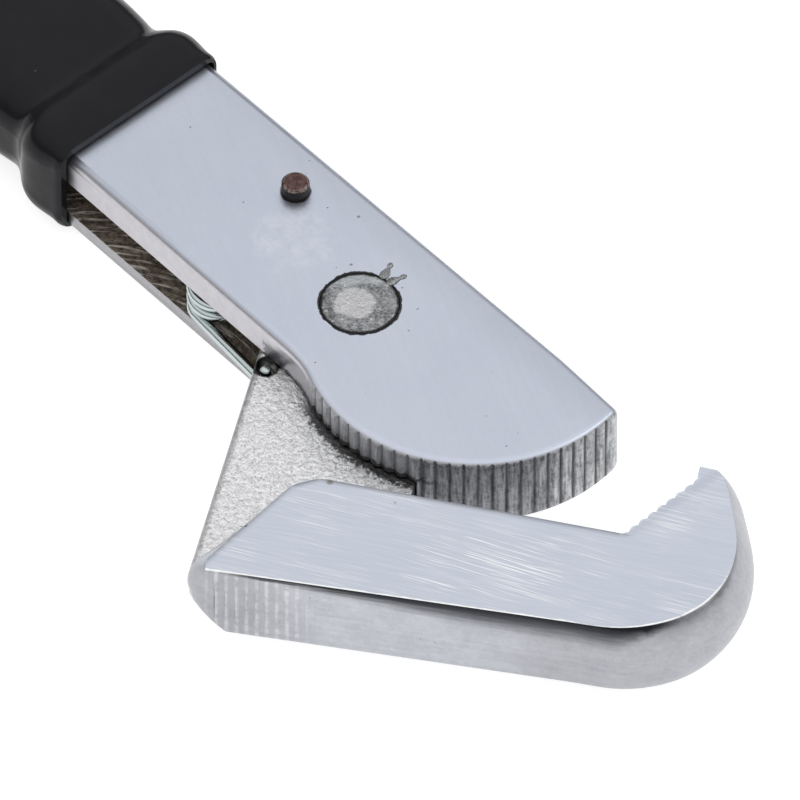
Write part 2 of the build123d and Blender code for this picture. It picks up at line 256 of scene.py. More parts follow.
    def bump(self, height, distance, strength=1.0, under=None):
        node = self.tree.nodes.new("ShaderNodeBump")
        self.put(node.inputs["Strength"], strength)
        self.put(node.inputs["Distance"], distance * MM)
        self.put(node.inputs["Height"], height)
        if under is not None:
            self.put(node.inputs["Normal"], under)
        return node.outputs[0]

    def finish(self, colour, roughness, metallic, normal=None):
        self.put(self.shader.inputs["Base Color"], colour)
        self.put(self.shader.inputs["Roughness"], roughness)
        self.put(self.shader.inputs["Metallic"], metallic)
        if normal is not None:
            self.put(self.shader.inputs["Normal"], normal)
        return self.material


def brushed(m, direction, along_scale, across_scale):
    """Noise drawn out along one direction in plan."""
    across = (-direction[1], direction[0])
    return m.combine(
        m.times(m.along(direction), along_scale),
        m.times(m.along(across), across_scale),
        m.times(m.z, across_scale),
    )


def zinc_bar():
    """Bright zinc over the ground bar; dark oxide in the slot; dull, streaked cam teeth."""
    m = Nodes("zinc_bar_looks")
    up = m.facing_up()
    cloud = m.noise(0.045, 2.0)
    fine = m.noise(2.2, 4.0, 0.7)
    grind = m.noise(1.0, 3.0, 0.6, brushed(m, BAR_GRIND, 0.05, 1.6))
    face = m.mix(cloud, (0.50, 0.545, 0.635), (0.585, 0.62, 0.70))
    face = m.tone(face, fine, 0.05)
    face = m.tone(face, grind, 0.035)
    side = m.tone((0.51, 0.50, 0.53), m.noise(0.8, 4.0, 0.65), 0.16)
    patch_edge = m.add(m.distance(RUBBED_PATCH), m.wobble(m.noise(0.25, 3.0, 0.6), 9.0))
    patch = m.all(m.step(patch_edge, 6.5, 3.0), m.step(m.noise(0.7, 4.0, 0.7), 0.35, 0.65))
    face = m.mix(m.times(patch, 0.28), face, (0.78, 0.80, 0.86))
    # painted shade: the face darkens towards its rounded upper edge, and is also a little darker
    # towards the grip end
    edge_shade_and_darkening = m.most(m.step(m.y, 6.0, 12.6, 0.16), m.step(m.x, -12.0, -36.0, 0.07))
    face = m.mix(edge_shade_and_darkening, face, (0.20, 0.21, 0.23))
    colour = m.mix(up, side, face)

    cam_r = m.distance(CAM)
    angle = m.math("ARCTAN2", m.math("SUBTRACT", m.y, CAM[1]), m.math("SUBTRACT", m.x, CAM[0]))
    lengthwise = m.times(angle, CAM_R)
    streak_at = m.combine(lengthwise, m.times(m.z, 0.10), cam_r)
    streak = m.noise(1.9, 4.0, 0.7, streak_at)
    mottle = m.noise(1.3, 5.0, 0.75)
    on_cam = m.all(
        m.inverse(up),
        m.step(cam_r, CAM_R - 0.9, CAM_R - 0.6),
        m.step(m.y, 12.2, 11.6),
        m.step(m.x, 3.0, 6.5),
    )
    grit = m.step(m.add(m.times(streak, 0.6), m.times(mottle, 0.4)), 0.34, 0.64)
    tooth = m.mix(grit, (0.17, 0.175, 0.185), (0.66, 0.67, 0.69))
    # painted shade: the tooth valleys are darkened
    valley = m.step(cam_r, CAM_R - 0.16, CAM_R - 0.34)
    tooth = m.mix(m.times(valley, 0.8), tooth, (0.05, 0.05, 0.052))
    # painted shade: the middle stretch of the cam teeth is darker
    shaded_middle = m.all(m.step(lengthwise, -24.6, -23.6), m.step(lengthwise, -4.0, -10.0))
    shaded_middle_look = m.mix(grit, (0.05, 0.05, 0.053), (0.26, 0.265, 0.28))
    tooth = m.mix(m.times(shaded_middle, 0.55), tooth, shaded_middle_look)
    plain_leaf = m.step(m.x, 24.5, 22.5)
    tooth = m.mix(m.times(plain_leaf, 0.45), tooth, (0.50, 0.50, 0.52))
    colour = m.mix(on_cam, colour, tooth)

    cutter_r = m.distance(CUTTER)
    in_slot = m.all(
        m.step(cutter_r, CUTTER_R + 0.06, CUTTER_R + 0.03),
        m.step(m.z, SLOT_FLOOR - 0.05, SLOT_FLOOR - 0.02),
        m.step(m.z, SLOT_CEILING + 0.05, SLOT_CEILING + 0.02),
    )
    arc_at = m.combine(cutter_r, m.times(m.along(CUTTER_MARKS), 0.07), 0.0)
    arcs = m.noise(1.9, 4.0, 0.75, arc_at)
    scale = m.step(m.noise(1.4, 5.0, 0.8), 0.35, 0.65)
    oxide = m.mix(scale, (0.06, 0.049, 0.040), (0.30, 0.245, 0.195))
    oxide = m.mix(m.times(m.step(arcs, 0.53, 0.62), 0.8), oxide, (0.95, 0.90, 0.84))
    oxide = m.mix(m.times(m.step(arcs, 0.44, 0.36), 0.6), oxide, (0.02, 0.017, 0.014))
    colour = m.mix(in_slot, colour, oxide)

    lower_leaf = m.all(
        m.inverse(up),
        m.step(m.z, SLOT_FLOOR - 0.02, SLOT_FLOOR - 0.10),
        m.step(m.y, -10.0, -10.8),
    )
    dull = m.mix(mottle, (0.20, 0.20, 0.21), (0.50, 0.50, 0.52))
    colour = m.mix(m.times(lower_leaf, 0.8), colour, dull)

    # painted shade of the gap: a ragged dark band along the lower edge of the upper leaf, beside the
    # jaw's web
    ragged = m.noise(0.95, 4.0, 0.75)
    leaf_height = m.math("SUBTRACT", m.z, SLOT_CEILING)
    gap_shade_height = m.math("MULTIPLY_ADD", m.step(m.x, -6.0, 8.0), 0.45, 0.15)
    ragged_height = m.add(gap_shade_height, m.wobble(ragged, 3.2))
    leaf_gap_shade = m.all(
        m.inverse(up),
        m.step(m.math("SUBTRACT", leaf_height, ragged_height), 0.15, -0.05),
        m.step(m.x, -8.0, -4.0),
        m.step(m.z, SLOT_CEILING - 0.1, SLOT_CEILING - 0.02),
        m.step(m.x, 27.0, 24.0),
        m.step(m.y, 2.0, 0.0),
    )
    colour = m.mix(m.times(leaf_gap_shade, 0.92), colour, (0.02, 0.02, 0.022))

    # painted shade where the jaw's web leaves the slot
    slot_mouth_shade_at = m.add(m.distance(SLOT_MOUTH), m.wobble(mottle, 5.0))
    slot_mouth_shade = m.all(m.inverse(up), m.step(slot_mouth_shade_at, 2.6, 1.0), m.step(m.z, 10.6, 9.4))
    colour = m.mix(m.times(slot_mouth_shade, 0.7), colour, (0.04, 0.04, 0.042))

    # painted highlight: a bright thin line along the sharp upper edges
    edge_y = m.math("MULTIPLY_ADD", m.x, BAR_EDGE_SLOPE, BAR_EDGE_Y)
    edge_wave = m.times(m.noise(0.6, 3.0), 0.3)
    in_from_edge = m.math("SUBTRACT", m.y, edge_y)
    straight = m.all(m.step(m.math("ABSOLUTE", in_from_edge), 0.26, 0.14), m.step(m.x, 1.0, -1.0))
    # painted shade: a faint dark line just inside the edge on the top face
    edge_shade_line = m.all(up, m.ring(in_from_edge, 0.52, 0.22), m.step(m.x, 1.0, -1.0))
    colour = m.mix(m.times(edge_shade_line, 0.12), colour, (0.12, 0.12, 0.13))
    round_edge = m.all(
        m.step(m.add(cam_r, edge_wave), CAM_R - 0.40, CAM_R - 0.22),
        m.step(m.y, 12.0, 11.0),
        m.step(m.x, 2.0, 4.0),
    )
    edge_highlight = m.all(m.step(m.z, BAR_TOP - 0.12, BAR_TOP - 0.05), m.most(straight, round_edge))
    colour = m.mix(m.times(edge_highlight, 0.85), colour, (0.97, 0.97, 0.98))

    # painted shade: near-black ring in the gap round the rivet's head
    ring_edge = m.add(m.distance(RIVET), m.wobble(m.noise(0.7, 3.0, 0.6), 0.9))
    rivet_gap_shade = m.all(m.step(m.z, 10.0, 10.3), m.step(ring_edge, RIVET_HEAD_R + 0.40, RIVET_HEAD_R + 0.26))
    colour = m.mix(rivet_gap_shade, colour, (0.010, 0.010, 0.011))
    # painted shadow: dark ring round the pin's foot
    pin_r = m.distance(PIN)
    pin_shadow_ring = m.all(up, m.step(m.add(pin_r, m.times(m.noise(0.9, 2.0), 0.35)), 2.32, 2.05))
    colour = m.mix(m.times(pin_shadow_ring, 0.9), colour, (0.03, 0.026, 0.024))

    pits = m.all(up, m.most(m.specks(4.4, 0.30, 0.55), m.specks(2.0, 0.16, 0.40)))
    colour = m.mix(m.times(pits, 0.6), colour, (0.09, 0.095, 0.11))
    roughness = m.math("MULTIPLY_ADD", m.noise(0.5, 4.0, 0.6), 0.14, 0.30)
    roughness = m.mix(m.most(on_cam, in_slot), roughness, (0.46, 0.46, 0.46))
    roughness = m.mix(edge_highlight, roughness, (0.2, 0.2, 0.2))
    metallic = m.math("SUBTRACT", 1.0, m.times(m.most(in_slot, rivet_gap_shade, leaf_gap_shade), 0.75))
    rough_parts = m.most(on_cam, m.times(in_slot, 0.8), 0.06)
    normal = m.bump(m.times(m.add(mottle, m.times(streak, 0.7)), rough_parts), 0.16)
    normal = m.bump(m.inverse(pits), 0.05, 0.8, normal)
    normal = m.bump(fine, 0.006, 0.7, normal)
    return m.finish(colour, roughness, metallic, normal)


def zinc_casting():
    """Bright zinc over the cast jaw: sparkling rough web, brushed hook face, smooth forged flank."""
    m = Nodes("zinc_casting_looks")
    up = m.facing_up()
    face = m.times(up, m.step(m.z, BAR_TOP - 0.15, BAR_TOP - 0.05))
    rear_gap = m.along(WEB_REAR_INWARD, WEB_REAR)
    rear_round = m.all(m.step(rear_gap, 1.7, 1.3), m.step(m.x, 18.5, 17.0))
    web_height = m.step(m.z, WEB_TOP + 0.12, WEB_TOP + 0.04)
    web = m.times(web_height, m.most(m.step(m.nz, 0.45, 0.75), rear_round))
    across = m.along((HOOK_EDGE[1], -HOOK_EDGE[0]), HOOK_OUTER)
    along = m.along(HOOK_AXIS, HOOK_OUTER)

    cloud = m.noise(0.06, 2.0)
    brush = m.noise(1.0, 4.0, 0.65, brushed(m, HOOK_AXIS, 0.07, 2.6))
    fine = m.noise(2.6, 4.0, 0.7)
    plain = m.mix(cloud, (0.52, 0.565, 0.65), (0.60, 0.635, 0.71))
    plain = m.tone(plain, brush, 0.11)
    lines = m.noise(1.0, 2.0, 0.5, brushed(m, HOOK_GRIND, 0.13, 7.0))
    line_zone = m.step(m.noise(0.10, 2.0), 0.38, 0.62)
    line_marks = m.times(m.step(lines, 0.55, 0.64), m.math("MULTIPLY_ADD", line_zone, 0.38, 0.10))
    plain = m.mix(line_marks, plain, (0.97, 0.97, 0.98))
    scratch = m.noise(1.0, 2.0, 0.5, brushed(m, HOOK_SCRATCHES, 0.045, 5.0))
    long_marks = m.all(
        m.step(scratch, 0.585, 0.65),
        m.step(m.noise(0.16, 2.0), 0.36, 0.55),
        m.step(across, -2.2, -3.4),
        m.step(across, -15.0, -11.0),
        m.step(along, 22.0, 28.0),
        m.step(along, 52.0, 46.0),
    )
    plain = m.mix(m.times(long_marks, 0.8), plain, (1.0, 1.0, 1.0))
    stain_at = m.add(m.distance(STAIN), m.times(m.noise(2.0, 2.0), 0.5))
    plain = m.mix(m.times(m.step(stain_at, 0.9, 0.4), 0.7), plain, (0.20, 0.15, 0.09))

    flank_cloud = m.noise(0.28, 4.0, 0.65)
    flank_tone = m.mix(flank_cloud, (0.36, 0.37, 0.405), (0.54, 0.55, 0.59))
    flank_tone = m.mix(m.step(along, 16.0, 4.0, 0.36), flank_tone, (0.20, 0.20, 0.205))
    flank_tone = m.mix(m.step(along, 34.0, 46.0, 0.30), flank_tone, (0.22, 0.22, 0.23))
    flank = m.tone(flank_tone, m.noise(0.9, 4.0, 0.6), 0.12)
    flank = m.tone(flank, fine, 0.12)
    rust = m.times(m.step(m.noise(0.16, 2.0), 0.55, 0.75), m.step(m.z, 6.0, 1.0))
    flank = m.mix(m.times(rust, 0.25), flank, (0.44, 0.40, 0.34))
    flank_streak = m.noise(1.0, 3.0, 0.6, brushed(m, HOOK_AXIS, 0.06, 1.8))
    flank = m.tone(flank, flank_streak, 0.14)
    # painted highlights: faint light ribs between the shallow flutes at the tail
    flute_at = m.math("SUBTRACT", along, FIRST_FLUTE)
    rib_wave = m.math("COSINE", m.times(flute_at, 2 * math.pi / FLUTE_PITCH))
    rib_highlight = m.all(m.step(rib_wave, 0.1, -0.8), m.step(along, -0.4, 0.6), m.step(along, 14.0, 11.0))
    rib_highlight_fade = m.math("MULTIPLY_ADD", m.step(m.noise(0.9, 4.0, 0.7), 0.35, 0.65), 0.28, 0.04)
    flank = m.mix(m.times(rib_highlight, rib_highlight_fade), flank, (0.80, 0.80, 0.80))
    colour = m.mix(up, flank, plain)

    grain = m.cells(1.55, feature="SMOOTH_F1")
    coarse = m.noise(1.1, 5.0, 0.75)
    sparkle = m.noise(3.4, 3.0, 0.8)
    cast_light = m.step(m.add(m.times(coarse, 0.45), m.times(sparkle, 0.55)), 0.34, 0.62)
    cast = m.mix(cast_light, (0.50, 0.50, 0.525), (0.96, 0.96, 0.97))
    cast = m.mix(m.times(m.step(m.noise(2.6, 4.0, 0.85), 0.58, 0.66), 0.8), cast, (1.0, 1.0, 1.0))
    cast = m.mix(m.times(m.step(m.noise(2.2, 4.0, 0.85), 0.41, 0.34), 0.7), cast, (0.16, 0.16, 0.165))
    # painted shade along the web's rounded rear edge
    cast = m.mix(m.times(m.step(rear_gap, 0.9, 0.3), 0.6), cast, (0.30, 0.30, 0.31))
    colour = m.mix(web, colour, cast)

    # painted shade in the corner between the web and the bar's leaf, next to the slot's end
    cam_r = m.distance(CAM)
    leaf_corner_shade = m.all(
        web,
        m.step(m.add(cam_r, m.wobble(coarse, 4.5)), CAM_R + 1.5, CAM_R + 0.8),
        m.step(m.x, 2.0, 7.0),
        m.step(cam_r, CAM_R - 1.6, CAM_R - 0.5),
    )
    colour = m.mix(m.times(leaf_corner_shade, 0.88), colour, (0.03, 0.03, 0.031))

    # painted highlight: a bright thin line along the hook's outer edge, a straight and two arcs
    at_top = m.step(m.z, BAR_TOP - 0.12, BAR_TOP - 0.05)
    wave = m.times(m.noise(0.8, 3.0), 0.35)
    straight_line = m.all(m.step(m.add(across, wave), -0.12, 0.06), m.step(m.x, 57.0, 56.0))
    lower_centre, lower_r = circle_through(HEAD_START, HEAD_MIDDLE, HEAD_OUTMOST)
    lower_arc = m.all(
        m.step(m.add(m.distance(lower_centre), wave), lower_r - 0.12, lower_r + 0.06),
        m.step(m.x, 56.0, 57.0),
        m.step(m.y, -4.2, -5.2),
    )
    upper_centre, upper_r = circle_through(HEAD_OUTMOST, HEAD_UPPER, HEAD_BACK)
    upper_arc = m.all(
        m.step(m.add(m.distance(upper_centre), wave), upper_r - 0.12, upper_r + 0.06),
        m.step(m.y, -5.2, -4.2),
        m.step(m.y, 6.0, 0.0),
    )
    outer_edge_highlight = m.times(at_top, m.most(straight_line, lower_arc, upper_arc))
    colour = m.mix(m.times(outer_edge_highlight, 0.92), colour, (1.0, 1.0, 1.0))
    # small nicks in that edge, and the painted shade line just under it
    nick = m.all(face, m.specks(7.0, 0.5, 0.6), m.step(across, -1.2, -0.3))
    colour = m.mix(nick, colour, (1.0, 1.0, 1.0))
    side = m.inverse(m.step(m.math("ABSOLUTE", m.nz), 0.85, 0.95))
    under_edge_shade = m.all(
        side,
        m.step(across, -3.0, -1.0),
        m.step(m.add(m.z, m.times(m.noise(0.7, 3.0), 0.25)), BAR_TOP - 0.55, BAR_TOP - 0.05),
        m.step(along, 0.5, 6.0),
    )
    colour = m.mix(m.times(under_edge_shade, 0.75), colour, (0.07, 0.075, 0.085))
    # painted shade: soft dark band below that edge, deepest where the flank turns up into the head
    band_streak = m.noise(1.0, 4.0, 0.7, brushed(m, HOOK_AXIS, 0.10, 2.2))
    drop = m.math("SUBTRACT", BAR_TOP, m.add(m.z, m.wobble(band_streak, 1.6)))
    deep = m.times(m.step(along, 6.0, 40.0), m.step(m.x, 66.5, 61.0))
    band_depth = m.math("MULTIPLY_ADD", deep, 3.4, 0.9)
    near_edge = m.math("SUBTRACT", 1.0, m.math("DIVIDE", drop, band_depth), clamp=True)
    band = m.all(
        side,
        m.step(near_edge, 0.0, 0.9),
        m.step(along, 1.0, 8.0),
        m.step(m.x, 67.0, 64.0),
        m.step(across, -12.0, -7.0),
    )
    colour = m.mix(m.times(band, 0.95), colour, (0.02, 0.022, 0.026))

    # darker mottled colour on the hook's row of teeth, and painted highlights along their upper ends
    tooth_x = m.math("SUBTRACT", TEETH_X, m.times(m.math("SUBTRACT", m.y, TEETH_START_Y), TEETH_LEAN))
    tooth_depth = m.math("SUBTRACT", m.x, tooth_x)
    in_teeth = m.all(
        m.step(m.math("ABSOLUTE", tooth_depth), 0.75, 0.55),
        m.step(m.y, -1.6, -1.0),
        m.step(m.y, 12.6, 12.0),
    )
    tooth_darkening = m.times(m.inverse(up), in_teeth)
    tooth_mottle = m.mix(m.noise(1.6, 4.0, 0.7), (0.08, 0.08, 0.085), (0.40, 0.41, 0.42))
    colour = m.mix(m.times(tooth_darkening, 0.75), colour, tooth_mottle)
    edge_glint = m.all(face, in_teeth, m.step(tooth_depth, 0.30, 0.12))
    colour = m.mix(m.times(edge_glint, 0.6), colour, (0.95, 0.95, 0.96))

    # painted shade: dark ring round the spring's hole
    hole_r = m.add(m.distance(SPRING_HOLE), m.times(coarse, 0.5))
    hole_shade_ring = m.all(web_height, m.step(hole_r, 2.15, 1.9))
    colour = m.mix(m.times(hole_shade_ring, 0.93), colour, (0.015, 0.015, 0.015))
    pits = m.all(m.inverse(web), m.most(m.specks(4.8, 0.30, 0.45), m.specks(2.2, 0.13, 0.30)))
    colour = m.mix(m.times(pits, 0.6), colour, (0.10, 0.10, 0.11))

    roughness = m.math("MULTIPLY_ADD", brush, 0.16, 0.27)
    roughness = m.mix(web, roughness, (0.34, 0.34, 0.34))
    # the hook face's rear and inner edges are rounded off over a narrow border
    rear_in = m.along((0.992, 0.125), HOOK_REAR_CORNER)
    inner_in = m.along((0.566, -0.824), HOOK_INNER_CORNER)
    corner_in = m.add(m.along((0.916, -0.402), HOOK_REAR_CORNER), 0.75)
    from_edge = m.math("MINIMUM", m.math("MINIMUM", rear_in, inner_in), corner_in)
    fall = m.math("SUBTRACT", 1.0, m.math("DIVIDE", from_edge, ROUNDED_BORDER), clamp=True)
    rounding = m.all(face, m.times(fall, fall), m.step(m.x, 52.0, 50.0))
    normal = m.bump(m.math("MULTIPLY", rounding, -1.0), 0.16)
    cast_height = m.add(m.times(coarse, 0.9), m.add(m.times(sparkle, 0.5), m.times(grain, 0.6)))
    normal = m.bump(m.times(cast_height, web), 0.15, 1.0, normal)
    normal = m.bump(m.times(brush, face), 0.012, 0.8, normal)
    normal = m.bump(fine, 0.008, 0.7, normal)
    normal = m.bump(m.inverse(pits), 0.05, 0.8, normal)
    return m.finish(colour, roughness, 1.0, normal)


def rivet_steel():
    """Peened rivet: mottled dark rim, light flat in the middle rubbed smooth by wear, painted shade in
    the gap round its head.
    """
    m = Nodes("rivet_steel_looks")
    rim = m.distance(RIVET)
    mottle = m.noise(0.55, 5.0, 0.75)
    grain = m.noise(2.4, 4.0, 0.8)
    speckle = m.step(m.add(m.times(mottle, 0.5), m.times(grain, 0.5)), 0.36, 0.66)
    dark = m.mix(speckle, (0.10, 0.102, 0.105), (0.50, 0.51, 0.53))
    flat = m.step(m.add(m.distance(RIVET_FLAT), m.wobble(mottle, 4.5)), 2.9, 2.3)
    colour = m.mix(flat, dark, m.tone((0.62, 0.62, 0.64), grain, 0.18))
    glints = m.step(m.noise(1.1, 3.0, 0.6), 0.63, 0.70)
    colour = m.mix(m.times(glints, 0.55), colour, (0.85, 0.86, 0.88))
    crescent_at = m.add(m.along(RIVET_CRESCENT), m.wobble(mottle, 0.5))
    crescent = m.all(m.step(crescent_at, 3.0, 3.5), m.step(rim, RIVET_HEAD_R - 0.1, RIVET_HEAD_R - 0.5))
    colour = m.mix(m.times(crescent, 0.75), colour, (0.55, 0.58, 0.60))
    # painted shade in the gap round the head: a ragged dark rim below the bar's top and a thin dark
    # outline just above it
    above = m.step(m.z, BAR_TOP + 0.005, BAR_TOP + 0.02)
    ragged_rim = m.add(rim, m.times(m.noise(1.0, 2.0), 0.5))
    edge = m.times(m.inverse(above), m.step(ragged_rim, RIVET_HEAD_R - 0.15, RIVET_HEAD_R + 0.12))
    rim_outline_shade = m.times(above, m.step(m.z, BAR_TOP + 0.07, BAR_TOP + 0.03))
    colour = m.mix(m.times(m.most(edge, rim_outline_shade), 0.92), colour, (0.02, 0.02, 0.02))
    normal = m.bump(m.add(mottle, m.times(grain, 0.4)), 0.35)
    return m.finish(colour, m.math("MULTIPLY_ADD", grain, 0.2, 0.34), 0.95, normal)


def pin_steel():
    """Brown oxidised pin with a rubbed rim."""
    m = Nodes("pin_steel_looks")
    spots = m.noise(1.6, 5.0, 0.75)
    top = m.step(m.nz, 0.6, 0.9)
    brown = m.mix(m.step(spots, 0.35, 0.65), (0.045, 0.022, 0.020), (0.15, 0.085, 0.075))
    colour = m.mix(top, (0.022, 0.017, 0.016), brown)
    rubbed = m.times(m.step(m.distance(PIN), 1.35, 1.6), m.step(m.nz, 0.3, 0.8))
    colour = m.mix(m.times(rubbed, m.step(spots, 0.4, 0.6)), colour, (0.34, 0.27, 0.24))
    return m.finish(colour, m.math("MULTIPLY_ADD", spots, 0.25, 0.35), 0.6, m.bump(spots, 0.12))


def spring_wire():
    """Plated spring wire, almost mirror bright, with a green-grey cast and drawing lines."""
    m = Nodes("spring_wire_looks")
    drawn = m.noise(1.2, 3.0, 0.6)
    colour = m.tone((0.50, 0.56, 0.56), drawn, 0.10)
    return m.finish(colour, m.math("MULTIPLY_ADD", drawn, 0.10, 0.08), 1.0, m.bump(m.noise(2.5), 0.01))


def grip_plastic():
    """Glossy black dipped plastic, softly uneven, with dust specks."""
    m = Nodes("grip_plastic_looks")
    wave = m.noise(0.10, 2.0)
    orange_peel = m.noise(0.9, 2.0)
    dust = m.most(m.specks(5.5, 0.16, 0.35), m.specks(9.0, 0.34, 0.30))
    colour = m.mix(m.noise(0.2, 3.0), (0.007, 0.007, 0.009), (0.012, 0.012, 0.015))
    colour = m.mix(m.times(dust, 0.5), colour, (0.16, 0.155, 0.14))
    roughness = m.math("MULTIPLY_ADD", m.noise(0.35, 4.0, 0.6), 0.12, 0.14)
    roughness = m.mix(dust, roughness, (0.6, 0.6, 0.6))
    normal = m.bump(wave, 0.35)
    normal = m.bump(orange_peel, 0.012, 1.0, normal)
    m.shader.inputs["Specular IOR Level"].default_value = 0.14
    return m.finish(colour, roughness, 0.0, normal)


LOOKS = {
    "zinc_bar": zinc_bar(),
    "zinc_casting": zinc_casting(),
    "rivet_steel": rivet_steel(),
    "pin_steel": pin_steel(),
    "spring_wire": spring_wire(),
    "grip_plastic": grip_plastic(),
}
SLOT_OF = {row["node"]: row["material_slot"] for row in frame["record"]["subparts"]}


def dress(obj, slot):
    """Give a piece the procedural material of its slot."""
    obj.data.materials.clear()
    obj.data.materials.append(LOOKS[slot])


for node, obj in frame["nodes"].items():
    dress(obj, SLOT_OF[node])


WELD_GAP = 0.002
SHARP_ANGLE = 32


def soften_edges(obj, width):
    """Join the faces at their shared edges and round every sharp edge a little."""
    weld = obj.modifiers.new("join", "WELD")
    weld.merge_threshold = WELD_GAP * MM
    bevel = obj.modifiers.new("soft edges", "BEVEL")
    bevel.width = width * MM
    bevel.segments = 2
    bevel.limit_method = "ANGLE"
    bevel.angle_limit = math.radians(SHARP_ANGLE)
    bevel.use_clamp_overlap = True
    bevel.harden_normals = True


def new_piece(name, vertices, faces, slot):
    """Smooth mesh piece in millimetres of the row frame."""
    mesh = bpy.data.meshes.new(name)
    mesh.from_pydata([Vector(v) * MM for v in vertices], [], faces)
    mesh.validate()
    for polygon in mesh.polygons:
        polygon.use_smooth = True
    obj = bpy.data.objects.new(name, mesh)
    bpy.context.scene.collection.objects.link(obj)
    dress(obj, slot)
    return obj


# ---- torsion spring as one smooth wire ----
WIRE_R = 0.7
WIRE_SIDES = 20
COIL = (-18.0, -8.0)
COIL_R = 3.3
COIL_PITCH = 1.7
COIL_TURNS = 2.3
COIL_BOTTOM = 2.8
COIL_START = math.radians(-98)
COIL_STEPS = 150
LEG_END = (-16.3, 7.6)
WIRE_END = (-2.8, -13.4)
WEB_LEG_RISE = 1.5
WIRE_END_TOP = 7.5
BEND_R = 1.3
WIRE_STEP = 0.8


def rounded_path(points, radius, steps=8):
    """Polyline with its inner corners replaced by quadratic bends."""
    result = [Vector(points[0])]
    for before, corner, after in zip(points, points[1:], points[2:]):
        corner = Vector(corner)
        inward = (Vector(before) - corner).normalized() * radius
        outward = (Vector(after) - corner).normalized() * radius
        for i in range(steps + 1):
            t = i / steps
            result.append(corner + inward * (1 - t) ** 2 + outward * t**2)
    result.append(Vector(points[-1]))
    return result


def spring_path():
    """Centreline from the wire's end in the web, round the coil, to the leg against the pin."""
    start = (
        COIL[0] + COIL_R * math.cos(COIL_START),
        COIL[1] + COIL_R * math.sin(COIL_START),
        COIL_BOTTOM,
    )
    path = rounded_path(
        [
            (WIRE_END[0], WIRE_END[1], WIRE_END_TOP),
            (WIRE_END[0], WIRE_END[1], COIL_BOTTOM + WEB_LEG_RISE),
            start,
        ],
        BEND_R,
    )
    turns = math.radians(360 * COIL_TURNS)
    for i in range(1, COIL_STEPS + 1):
        share = i / COIL_STEPS
        angle = COIL_START - turns * share
        path.append(
            Vector(
                (
                    COIL[0] + COIL_R * math.cos(angle),
                    COIL[1] + COIL_R * math.sin(angle),
                    COIL_BOTTOM + COIL_PITCH * COIL_TURNS * share,
                )
            )
        )
    last = path[-1]
    path.append(Vector((LEG_END[0], LEG_END[1], last.z)))
    return path


def swept_wire(path, radius, sides):
    """Closed tube with rounded ends round a path, its frame carried along without twist."""
    dense = [path[0]]
    for a, b in zip(path, path[1:]):
        pieces = max(1, int((b - a).length / WIRE_STEP))
        dense += [a.lerp(b, i / pieces) for i in range(1, pieces + 1)]
    tangents = []
    for i in range(len(dense)):
        tangents.append((dense[min(i + 1, len(dense) - 1)] - dense[max(i - 1, 0)]).normalized())
    normal = tangents[0].orthogonal().normalized()
    rings = []
    for centre, tangent in zip(dense, tangents):
        normal = (normal - tangent * normal.dot(tangent)).normalized()
        rings.append((centre, tangent, normal, radius))
    first, last = rings[0], rings[-1]
    cap = 0.25 * radius
    rings.insert(0, (first[0] - first[1] * cap, first[1], first[2], radius - cap))
    rings.append((last[0] + last[1] * cap, last[1], last[2], radius - cap))
    vertices, faces = [], []
    for centre, tangent, across, r in rings:
        other = tangent.cross(across)
        for i in range(sides):
            angle = 2 * math.pi * i / sides
            vertices.append(centre + (across * math.cos(angle) + other * math.sin(angle)) * r)
    for ring in range(len(rings) - 1):
        for i in range(sides):
            a = ring * sides + i
            b = ring * sides + (i + 1) % sides
            faces.append((a, b, b + sides, a + sides))
    faces.append(tuple(reversed(range(sides))))
    faces.append(tuple(range(len(vertices) - sides, len(vertices))))
    return vertices, faces


spring = new_piece("spring", *swept_wire(spring_path(), WIRE_R, WIRE_SIDES), "spring_wire")
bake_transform(spring)
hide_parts("torsion_spring")

# ---- two small stakes punched into the bar beside the rivet's head ----
STAKE_SIDES = 12
STAKE_SINK = 0.05
# each stake's origin and direction in plan
STAKES = (((-1.46, 5.55), (-0.40, 0.917)), ((-0.01, 5.45), (0.23, 0.973)))
# stations along a stake as (distance, half width, height)
STAKE_STATIONS = (
    (-0.80, 0.12, 0.04),
    (-0.62, 0.46, 0.16),
    (-0.20, 0.66, 0.24),
    (0.30, 0.64, 0.24),
    (0.80, 0.42, 0.18),
    (1.15, 0.24, 0.13),
    (1.45, 0.36, 0.17),
    (1.80, 0.38, 0.16),
    (2.05, 0.24, 0.11),
    (2.14, 0.08, 0.04),
)


def stake_mesh():
    """Closed low mounds, each swept along its axis with its foot sunk a little into the bar."""
    vertices, faces = [], []
    for origin, direction in STAKES:
        start = len(vertices)
        for distance, half, rise in STAKE_STATIONS:
            for i in range(STAKE_SIDES):
                angle = 2 * math.pi * i / STAKE_SIDES
                side = half * math.cos(angle)
                lift = rise * math.sin(angle)
                x = origin[0] + direction[0] * distance - direction[1] * side
                y = origin[1] + direction[1] * distance + direction[0] * side
                vertices.append((x, y, BAR_TOP + max(lift, -STAKE_SINK)))
        last = start + STAKE_SIDES * (len(STAKE_STATIONS) - 1)
        for ring in range(start, last, STAKE_SIDES):
            for i in range(STAKE_SIDES):
                j = (i + 1) % STAKE_SIDES
                faces.append((ring + i, ring + STAKE_SIDES + i, ring + STAKE_SIDES + j, ring + j))
        faces.append(tuple(start + i for i in range(STAKE_SIDES)))
        faces.append(tuple(reversed([last + i for i in range(STAKE_SIDES)])))
    return vertices, faces


stakes = new_piece("rivet_stakes", *stake_mesh(), "rivet_steel")
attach(stakes, "handle")

# ---- edge widths in millimetres ----
for node, width in (("handle_bar", 0.07), ("hook_jaw", 0.07), ("pivot_rivet", 0.15)):
    soften_edges(frame["nodes"][node], width)

